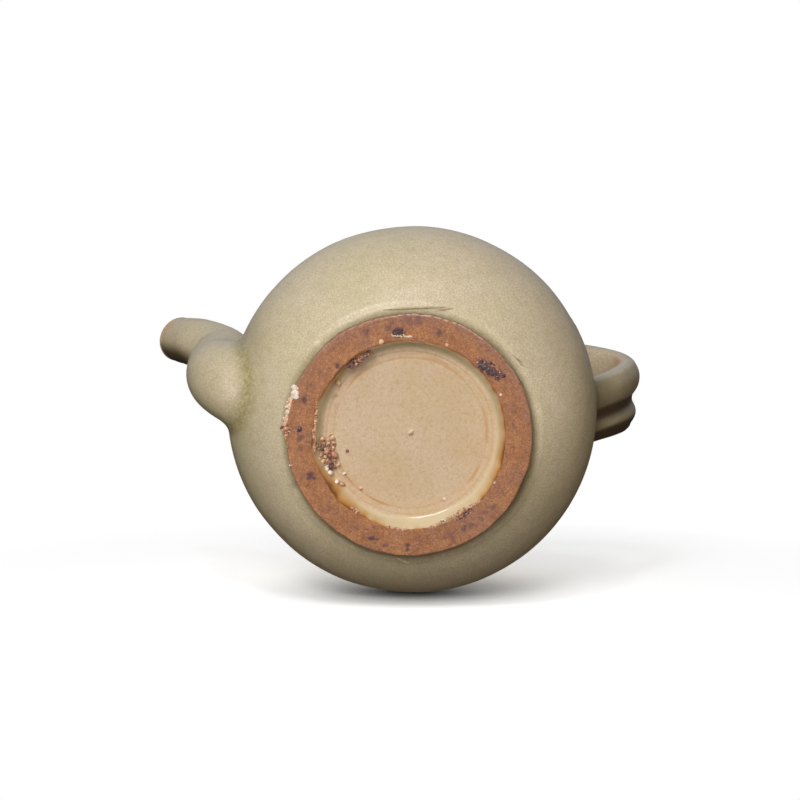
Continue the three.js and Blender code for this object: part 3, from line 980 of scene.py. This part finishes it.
# Strewn grit: from x, y to x, y, spread, height, number, smallest and largest radius, darkest and palest
# tone
STREWN = {
    "heap_fill": (-24.8, 4.8, -24.2, 18.4, 1.2, 5.4, 110, 0.22, 0.6, 0.25, 0.95),
    "heap_wall": (-27.7, 6.5, -27.2, 14.5, 0.5, 3.6, 56, 0.2, 0.5, 0.35, 0.75),
    "heap_foot": (-27.0, 14.5, -24.0, 19.8, 0.5, 3.0, 46, 0.2, 0.5, 0.2, 0.9),
    "slag_left": (18.4, -25.6, 22.4, -24.4, 0.65, 0.5, 110, 0.25, 0.65, 0.0, 0.22),
    "slag_right": (21.8, -23.6, 25.6, -22.7, 0.5, 0.5, 70, 0.25, 0.6, 0.05, 0.22),
    "slag_rim": (17.6, -26.8, 26.4, -22.6, 0.75, 0.5, 110, 0.15, 0.32, 0.25, 0.7),
    "blotch": (-9.2, -32.0, -6.0, -31.9, 0.4, 0.45, 40, 0.2, 0.5, 0.0, 0.2),
    "blotch_frost": (-9.6, -30.7, -3.2, -31.1, 0.13, 0.42, 60, 0.15, 0.32, 0.8, 0.95),
    "white_glass": (-36.7, -10.6, -37.1, -7.4, 0.35, 0.7, 40, 0.5, 0.95, 0.95, 1.0),
    "crust": (-37.5, -6.8, -38.6, 1.8, 0.42, 1.1, 170, 0.25, 0.75, 0.62, 0.95),
    "crust_dark": (-38.4, 1.6, -38.0, 4.2, 0.5, 1.0, 60, 0.35, 0.9, 0.05, 0.7),
    "crust_low": (-38.2, 0.4, -37.8, 6.5, 0.22, 0.9, 60, 0.2, 0.45, 0.35, 0.8),
    "chips": (-36.9, 7.6, -35.1, 14.6, 0.2, 0.8, 60, 0.2, 0.45, 0.5, 1.0),
    "inner_crumbs": (-29.8, -7.8, -29.3, 3.6, 0.22, 0.9, 90, 0.18, 0.5, 0.4, 0.8),
    "inner_crumbs_low": (-29.2, 3.6, -28.4, 9.5, 0.2, 0.9, 44, 0.18, 0.45, 0.4, 0.65),
    "wall_crumbs": (-22.0, -18.7, -15.2, -24.3, 0.4, 2.0, 90, 0.25, 0.7, 0.1, 0.55),
    "right_crumbs": (17.5, 24.5, 22.5, 20.5, 0.3, 0.55, 90, 0.14, 0.4, 0.0, 0.6),
    "right_frost": (10.0, 28.3, 25.4, 16.8, 0.3, 0.5, 130, 0.12, 0.32, 0.3, 1.0),
    "bottom_crumbs": (-3.2, 29.6, 3.4, 29.6, 0.16, 0.65, 60, 0.14, 0.38, 0.4, 1.0),
    "bottom_lumps": (-15.0, 25.0, -12.5, 26.3, 0.22, 0.7, 30, 0.2, 0.5, 0.4, 0.7),
}


def ball():
    """A unit ball of 80 faces."""
    made = bmesh.new()
    bmesh.ops.create_icosphere(made, subdivisions=2, radius=1.0)
    made.verts.index_update()
    points = np.array([v.co[:] for v in made.verts])
    faces = np.array([[v.index for v in f.verts] for f in made.faces])
    made.free()
    return points, faces


def above_plane(height):
    """Presses heights under a fraction of a millimetre smoothly together, so that none falls below the
    plane the foot stands on."""
    room, least = 0.22, 0.01
    pressed = least + (room - least) * np.exp((np.minimum(height, room) - room) / room)
    return np.where(height < room, pressed, height)


def make_grains(name, table, seed):
    """Fused grains as one mesh: each is a ball stretched at random along three turned axes, dented by a
    ripple, and kept over the foot's plane. A tone goes with each."""
    table = np.array(table)
    draw = np.random.default_rng(seed)
    unit, faces = ball()
    count = len(table)
    stretch = draw.uniform(0.75, 1.2, (count, 1, 3))
    turned = np.linalg.qr(draw.normal(size=(count, 3, 3)))[0]
    turned[:, :, 0] *= np.sign(np.linalg.det(turned))[:, None]
    shape = np.einsum("nij,nkj->nki", turned, unit[None] * stretch)
    dents = ripple((shape + draw.uniform(-50, 50, (count, 1, 3))).reshape(-1, 3), 2.2, seed + 1)
    shape *= 1 + 0.13 * dents.reshape(count, -1, 1)
    points = (table[:, None, :3] + shape * table[:, None, 3:4]).reshape(-1, 3)
    points[:, 2] = above_plane(points[:, 2])
    every = (faces[None] + np.arange(count)[:, None, None] * len(unit)).reshape(-1, 3)
    tone = np.repeat(table[:, 4], len(unit))
    return mesh_piece(name, points, every, "kiln_grit", (), {"tone": tone})


def strewn(row, seed):
    """Rows of grains along a line: each at a random share of it and a bell-curve distance beside it."""
    x0, y0, x1, y1, spread, height, count, small, large, dark, pale = row
    draw = np.random.default_rng(seed)
    share = draw.uniform(0, 1, count)
    beside = draw.normal(0, spread, (count, 2))
    size = small + (large - small) * draw.uniform(0, 1, count) ** 1.8
    return np.stack([x0 + (x1 - x0) * share + beside[:, 0], y0 + (y1 - y0) * share + beside[:, 1],
                     height + draw.uniform(-0.35, 0.35, count) * size, size,
                     draw.uniform(dark, pale, count)], 1)


# Marks left by the trimming knife: places on the body from end to end, half width and height of the burr
KNIFE_MARKS = [([(-14.0, -37.6), (-3.0, -40.2), (8.0, -41.2)], 0.34, 0.03, 0.8),
               ([(3.0, -39.9), (6.0, -40.5), (9.1, -40.9)], 0.26, 0.09, 0.8),
               ([(28.0, -29.2), (30.5, -27.7), (32.9, -26.1)], 0.26, 0.14, 1.0),
               ([(30.2, -27.2), (31.8, -26.3), (33.4, -25.4)], 0.22, 0.14, 0.6),
               ([(-35.4, -21.9), (-35.4, -20.0), (-35.0, -18.1)], 0.32, 0.3, 0.0),
               ([(1.4, 40.3), (3.4, 41.6), (6.0, 41.9)], 0.35, 0.2, 0.2)]


def make_knife_marks():
    """Burrs under the glaze: low ridges that swell and fade along a Bezier curve laid on the body. Their
    lower side is sunk in the wall."""
    sides, rows = 10, 24
    sunk = 0.15
    share = np.linspace(0, 1, rows)
    angle = full_turn(sides)
    points, faces, pools, thins = [], [], [], []
    for way, half_width, height, green in KNIFE_MARKS:
        flat = bezier([(x, y) for x, y in way], rows)
        rho = off_axis(flat)
        lift = belly_height - lower_depth * np.sqrt(1 - (rho / body_radius) ** 2)
        middle = np.stack([flat[:, 0], flat[:, 1], lift], 1)
        outward = normalised((middle - [0, 0, belly_height])
                             / [body_radius ** 2, body_radius ** 2, lower_depth ** 2])
        side = normalised(np.cross(np.gradient(middle, axis=0), outward))
        swell = np.sin(np.pi * share) ** 0.7
        low = middle - outward * sunk
        layer = (low[:, None] + side[:, None] * (swell[:, None] * np.cos(angle) * half_width)[..., None]
                 + outward[:, None] * (swell[:, None] * np.sin(angle) * (height + sunk))[..., None])
        start = sum(len(p) for p in points)
        points.append(np.concatenate([layer[1:-1].reshape(-1, 3), low[:1], low[-1:]]))
        faces += [[start + i for i in f] for f in capped_faces(rows - 2, sides)]
        pools.append(np.full(len(points[-1]), green))
        thins.append(np.full(len(points[-1]), 0.15 * (1 - green)))
    return mesh_piece("knife_marks", np.concatenate(points), faces, "olive_glaze", (),
                      {"pool": np.concatenate(pools), "thin": np.concatenate(thins)})


make_body()
make_neck()
make_spout()
make_strap()
make_foot_ring()
make_recess()
make_knife_marks()
make_grains("grit_heap", HEAP, 31)
make_grains("lone_beads", LONE_BEADS, 32)
for number, (place, row) in enumerate(STREWN.items()):
    make_grains("grit_" + place, strewn(row, 40 + number), 70 + number)


# Camera, as the photograph's: the foot's centre at a pixel, the axis tilted from the view and rolled in it

foot_pixel = (409.05, 436.7)
image_size = 800
lens = 100.0
sensor = 36.0
foot_distance = 688.0
tilt = np.radians(11.3)
floor_slope = np.radians(3.8)
floor_half = 2000
roll = np.radians(-7.7)


def view_axes():
    """The camera's right, up and back directions in the ewer's frame."""
    back = np.array([0, -np.sin(tilt), -np.cos(tilt)])
    up = normalised(np.array([0, 0, 1]) - back * back[2])
    right = np.cross(up, back)
    return right * np.cos(roll) - up * np.sin(roll), right * np.sin(roll) + up * np.cos(roll), back


def place_by_axes(thing, first, second, third, place):
    """Puts an object at a place in millimetres with its own axes along three given ones."""
    matrix = Matrix.Identity(4)
    for i in range(3):
        for j, axis in enumerate((first, second, third)):
            matrix[i][j] = axis[i]
        matrix[i][3] = place[i] * MM
    thing.matrix_world = matrix


def make_camera():
    """The camera, set so that the foot's centre falls on its pixel."""
    right, up, back = view_axes()
    focus = lens / sensor * image_size
    aside = (foot_pixel[0] - image_size / 2) / focus
    above = -(foot_pixel[1] - image_size / 2) / focus
    place = -foot_distance * (aside * right + above * up - back) + [axis_x, 0, 0]
    camera = bpy.data.objects.new("camera", bpy.data.cameras.new("camera"))
    camera.data.lens = lens
    camera.data.sensor_width = sensor
    place_by_axes(camera, right, up, back, place)
    camera.data.clip_start = 0.01
    bpy.context.scene.collection.objects.link(camera)
    bpy.context.scene.camera = camera


# Lamps: the direction along the camera's right, up and back axes, size in metres, power in watts, colour and
# whether gloss mirrors it
lamp_distance = 0.8
LAMPS = {
    "front": ((-0.22, 0.37, 0.91), 0.3, 3.7, (1.0, 0.99, 0.98), True),
    "axis": ((0.0, 0.0, 1.0), 0.3, 1.9, (1.0, 1.0, 1.0), False),
    "upper_front": ((-0.32, 0.5, 0.8), 0.18, 1.0, (1.0, 0.98, 0.96), True),
    "overhead": ((-0.15, 0.81, 0.56), 0.08, 0.75, (0.84, 0.86, 1.0), True),
    "right": ((0.95, 0.0, 0.2), 0.3, 0.7, (1.0, 0.8, 0.58), True),
    "left_low": ((-0.71, -0.71, 0.0), 0.3, 0.5, (1.0, 0.85, 0.5), True),
    "low": ((0.1, -0.64, 0.77), 0.3, 0.3, (1.0, 0.72, 0.5), True),
    "left": ((-0.97, 0.0, 0.26), 0.3, 0.3, (0.7, 0.75, 1.0), True),
    "mouth_side": ((0.0, -0.1, -1.0), 0.2, 4.5, (0.98, 0.97, 1.0), False),
}


def soft_lamp(name, direction, size, power, tint, mirrored):
    """A square soft lamp that faces the ewer. One that isn't mirrored gives light but no highlight."""
    right, up, back = view_axes()
    aim = normalised(direction[0] * right + direction[1] * up + direction[2] * back)
    lamp = bpy.data.lights.new(name, "AREA")
    lamp.shape = "SQUARE"
    lamp.size = size
    lamp.energy = power
    lamp.color = tint
    made = bpy.data.objects.new(name, lamp)
    made.visible_glossy = mirrored
    bpy.context.scene.collection.objects.link(made)
    middle = np.array([axis_x, 0, belly_height])
    side = normalised(np.cross(up, aim))
    place_by_axes(made, side, np.cross(aim, side), aim, middle + aim * lamp_distance / MM)


dim_level = 0.02


def make_world():
    """White where it is seen, and a dim even light elsewhere. Gloss mirrors the white surround above and
    behind the ewer, and the dark studio on the camera's side and below."""
    world = bpy.data.worlds.new("studio")
    world.use_nodes = True
    bpy.context.scene.world = world
    tree = world.node_tree
    tree.nodes.clear()
    _, up, back = view_axes()
    towards = add(tree, "TexCoord").outputs["Generated"]
    high = add(tree, "VectorMath", {0: towards, 1: (0.8 * up - 0.6 * back).tolist()},
               operation="DOT_PRODUCT").outputs["Value"]
    seen = background_rays(tree, span(tree, high, 0.5, 1.1))
    dim = add(tree, "Background", {"Color": (1, 1, 1, 1), "Strength": dim_level})
    white = add(tree, "Background", {"Color": (1, 1, 1, 1), "Strength": 1.0})
    both = add(tree, "MixShader", {0: seen, 1: dim.outputs[0], 2: white.outputs[0]})
    add(tree, "OutputWorld", {0: both.outputs[0]})


def make_floor():
    """A level floor under the ewer as it lies in the photograph, through the body's lowest point there."""
    right, up, back = view_axes()
    normal = up * np.cos(floor_slope) + back * np.sin(floor_slope)
    half = np.array([body_radius, body_radius, (lower_depth + shoulder_rise) / 2])
    reach = np.linalg.norm(half * normal)
    touch = np.array([axis_x, 0, belly_height]) - half ** 2 * normal / reach
    ahead = normalised(np.cross(right, normal))
    aside = np.cross(normal, ahead)
    mesh = bpy.data.meshes.new("floor")
    corners = np.array([(-1, -1, 0), (1, -1, 0), (1, 1, 0), (-1, 1, 0)]) * floor_half
    mesh.from_pydata((corners * MM).tolist(), [], [(0, 1, 2, 3)])
    mesh.materials.append(studio_floor())
    floor = bpy.data.objects.new("floor", mesh)
    place_by_axes(floor, aside, -ahead, normal, touch)
    floor.visible_diffuse = False
    floor.visible_shadow = False
    floor.visible_glossy = False
    bpy.context.scene.collection.objects.link(floor)


make_camera()
make_world()
make_floor()
for lamp_name, settings in LAMPS.items():
    soft_lamp(lamp_name, *settings)

bpy.context.scene.view_settings.view_transform = "Standard"
